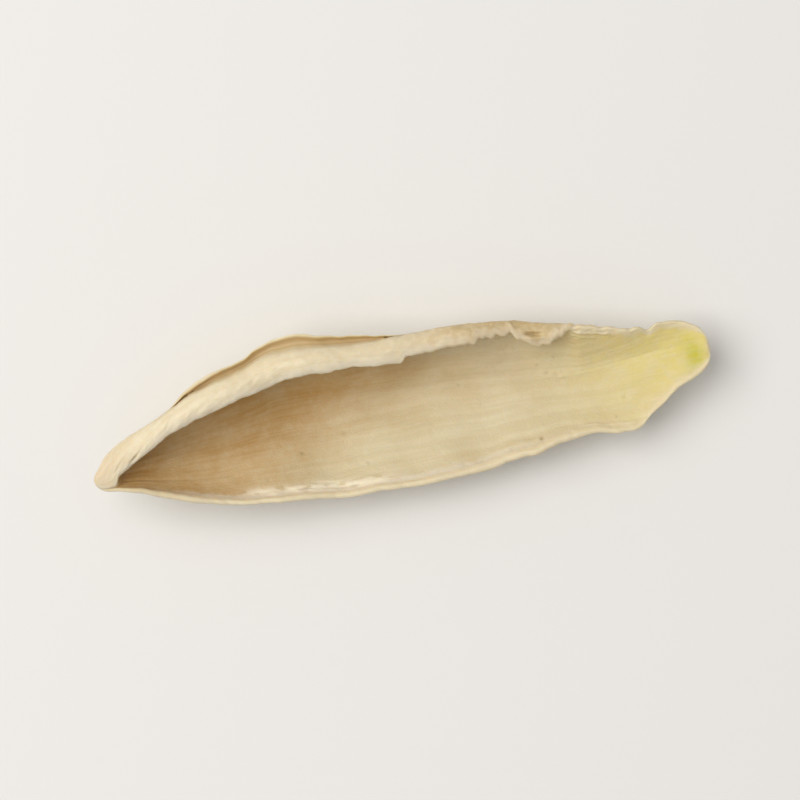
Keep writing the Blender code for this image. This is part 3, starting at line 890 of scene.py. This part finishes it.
def hollow_flesh(effects):
    """The hollow face: cream, tan that is partly painted shade in its deep, whitish at the margins with
    a thin painted highlight along them, and yellow-green at the end.
    """
    material, tree, shader, growth, place = flesh_material("dried_hollow_flesh")
    broad = used(tree, effects["veins"], Growth=growth, Spacing=0.9, Run=14.0, Seed=1.0)
    fine = used(tree, effects["veins"], Growth=growth, Spacing=0.28, Run=7.0, Seed=5.0)
    clouds = used(tree, effects["mottle"], Place=place, Size=3.4, Seed=2.0)
    patches = used(tree, effects["mottle"], Place=place, Size=0.9, Seed=9.0)
    flecked = used(tree, effects["mottle"], Place=place, Size=0.55, Seed=27.0)
    specks = used(tree, effects["specks"], Place=place, Spacing=2.3, Size=0.055, Share=0.25)

    colour = blended(tree, clouds, CREAM, BEIGE)
    colour = blended(tree, between(tree, broad, 0.1, 0.9, 0.0, 0.35), colour, DEEP_BEIGE)
    # Tan in the deep of the hollow, partly dried colour and partly painted shade.
    tan = times(tree, painted_mask(tree, "tan"), between(tree, clouds, 0.0, 1.0, 0.78, 1.0))
    colour = blended(tree, tan, colour, TAN_AND_SHADE)
    green = times(tree, painted_mask(tree, "green"), between(tree, patches, 0.0, 1.0, 0.65, 0.95))
    colour = blended(tree, green, colour, YELLOWISH)
    colour = blended(tree, times(tree, painted_mask(tree, "tip_green"), 0.85), colour, GREENISH)
    colour = blended(tree, between(tree, fine, 0.15, 0.85, 0.0, 0.12), colour, CREAM)
    colour = blended(tree, between(tree, flecked, 0.35, 1.0, 0.0, 0.08), colour, WHITISH)
    near = used(tree, effects["rim"], From_Rim=painted_mask(tree, "from_near"), Width=0.85, Place=place)
    far = used(tree, effects["rim"], From_Rim=painted_mask(tree, "from_far"), Width=0.55, Place=place)
    rim = used(tree, effects["rim"], From_Rim=painted_mask(tree, "from_rim"), Width=0.3, Place=place)
    near = times(tree, near, painted_mask(tree, "bleach"))
    bleached = combined(tree, "MAXIMUM", near, times(tree, far, 0.7))
    colour = blended(tree, bleached, colour, WHITISH)
    colour = blended(tree, painted_mask(tree, "fray"), colour, FRAYED_WHITE)
    # A thin painted highlight along the margins and round the blunt end.
    colour = blended(tree, times(tree, rim, 0.8), colour, RIM_HIGHLIGHT)
    colour = blended(tree, times(tree, specks, 0.5), colour, SPECK)
    colour = blended(tree, painted_mask(tree, "pit"), colour, SPECK)

    powder = add(tree, "ShaderNodeTexNoise", {"Vector": place, "Scale": 7.0, "Detail": 2.0})
    rough = combined(tree, "MULTIPLY_ADD", flecked, 0.5, powder.outputs["Fac"])
    height = combined(tree, "MULTIPLY_ADD", fine, 0.35, rough)
    dressed(tree, shader, colour, between(tree, patches, 0.0, 1.0, 0.46, 0.62), height)
    return material


def outer_skin(effects):
    """The outer skin: ivory and waxy, cream-white on the rolled band, with painted shade in the groove
    outside it and a painted highlight on the lip's edge.
    """
    material, tree, shader, growth, place = flesh_material("dried_outer_skin")
    broad = used(tree, effects["veins"], Growth=growth, Spacing=1.0, Run=16.0, Seed=11.0)
    fine = used(tree, effects["veins"], Growth=growth, Spacing=0.3, Run=8.0, Seed=15.0)
    clouds = used(tree, effects["mottle"], Place=place, Size=3.8, Seed=12.0)
    patches = used(tree, effects["mottle"], Place=place, Size=1.1, Seed=19.0)
    specks = used(tree, effects["specks"], Place=place, Spacing=2.6, Size=0.06, Share=0.28)

    colour = blended(tree, clouds, IVORY, STRAW)
    colour = blended(tree, between(tree, broad, 0.1, 0.9, 0.0, 0.4), colour, PALE_VEIN)
    colour = blended(tree, between(tree, fine, 0.2, 0.9, 0.0, 0.18), colour, DEEP_BEIGE)
    green = times(tree, painted_mask(tree, "green"), between(tree, patches, 0.0, 1.0, 0.35, 0.6))
    colour = blended(tree, green, colour, YELLOWISH)
    flecked = used(tree, effects["mottle"], Place=place, Size=0.5, Seed=29.0)
    whiter = blended(tree, between(tree, broad, 0.2, 0.9, 0.0, 0.35), BAND_CREAM, FRAYED_WHITE)
    whiter = blended(tree, between(tree, flecked, 0.4, 1.0, 0.0, 0.25), whiter, FRAYED_WHITE)
    torn = blended(tree, between(tree, flecked, 0.3, 0.9, 0.0, 0.6), TORN_BEIGE, TORN_CREAM)
    band_colour = blended(tree, painted_mask(tree, "torn"), whiter, torn)
    band_colour = blended(tree, between(tree, fine, 0.3, 0.9, 0.0, 0.22), band_colour, STRAW)
    band = times(tree, painted_mask(tree, "on_roll"), between(tree, patches, 0.0, 1.0, 0.75, 1.0))
    colour = blended(tree, band, colour, band_colour)
    nose = times(tree, painted_mask(tree, "nose"), 0.55)
    colour = blended(tree, nose, colour, NOSE_CREAM)
    rim = used(tree, effects["rim"], From_Rim=painted_mask(tree, "from_rim"), Width=0.6, Place=place)
    rim = times(tree, rim, between(tree, painted_mask(tree, "torn"), 0.0, 1.0, 0.7, 0.4))
    colour = blended(tree, rim, colour, WHITISH)
    # Painted shade in the groove and on the band's flank, and a painted highlight on the lip's edge.
    colour = blended(tree, times(tree, painted_mask(tree, "groove_shade"), 0.85), colour, GROOVE_SHADE)
    colour = blended(tree, times(tree, painted_mask(tree, "lip_highlight"), 0.7), colour, RIM_HIGHLIGHT)
    colour = blended(tree, times(tree, specks, 0.45), colour, SPECK)

    powder = add(tree, "ShaderNodeTexNoise", {"Vector": place, "Scale": 6.0, "Detail": 2.0})
    height = combined(tree, "MULTIPLY_ADD", fine, 0.6, times(tree, powder.outputs["Fac"], 0.3))
    dressed(tree, shader, colour, between(tree, patches, 0.0, 1.0, 0.4, 0.56), height)
    return material


def lily_bulb_scale():
    """The dried scale, dressed in its two kinds of flesh."""
    effects = {
        "veins": growth_veins_effect(),
        "mottle": dried_mottle_effect(),
        "specks": dust_specks_effect(),
        "rim": bleached_and_highlit_rim_effect(),
    }
    mesh = scale_mesh()
    mesh.materials.append(outer_skin(effects))
    mesh.materials.append(hollow_flesh(effects))
    piece = bpy.data.objects.new("dried_bulb_scale", mesh)
    bpy.context.scene.collection.objects.link(piece)
    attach(piece, "root")
    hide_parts(NODE)
    return piece


def floor():
    """A plain sheet of pale paper."""
    bpy.ops.mesh.primitive_plane_add(size=2.0)
    plane = bpy.context.object
    plane.name = "floor"
    material = bpy.data.materials.new("floor_paper")
    material.use_nodes = True
    shader = material.node_tree.nodes["Principled BSDF"]
    shader.inputs["Base Color"].default_value = PAPER
    shader.inputs["Roughness"].default_value = 0.9
    plane.data.materials.append(material)


def area_light(name, place, size, power, colour):
    """A square lamp that faces the middle of the scene."""
    light = bpy.data.lights.new(name, "AREA")
    light.energy = power
    light.size = size
    light.color = colour
    lamp = bpy.data.objects.new(name, light)
    lamp.location = place
    lamp.rotation_euler = (-Vector(place)).to_track_quat("-Z", "Y").to_euler()
    bpy.context.scene.collection.objects.link(lamp)


def studio():
    """Even light from all round, and a soft key light high on the left."""
    world = bpy.data.worlds.new("studio")
    bpy.context.scene.world = world
    world.use_nodes = True
    background = world.node_tree.nodes["Background"]
    background.inputs["Color"].default_value = (1.0, 1.0, 1.0, 1.0)
    background.inputs["Strength"].default_value = SOFT_LIGHT
    area_light("key", KEY_PLACE, KEY_SIZE, KEY_POWER, KEY_COLOUR)
    bpy.context.scene.view_settings.view_transform = "Standard"


def camera():
    """A long lens straight above, turned so that the scale lies as it does in the picture."""
    lens = bpy.data.cameras.new("camera")
    lens.lens = LENS
    lens.sensor_width = SENSOR
    eye = bpy.data.objects.new("camera", lens)
    eye.location = (0.0, 0.0, (VIEW_HEIGHT + VIEW_WIDTH * LENS / SENSOR) * MM)
    eye.rotation_euler = (0.0, 0.0, -math.radians(VIEW_TURN))
    bpy.context.scene.collection.objects.link(eye)
    bpy.context.scene.camera = eye


lily_bulb_scale()
floor()
studio()
camera()
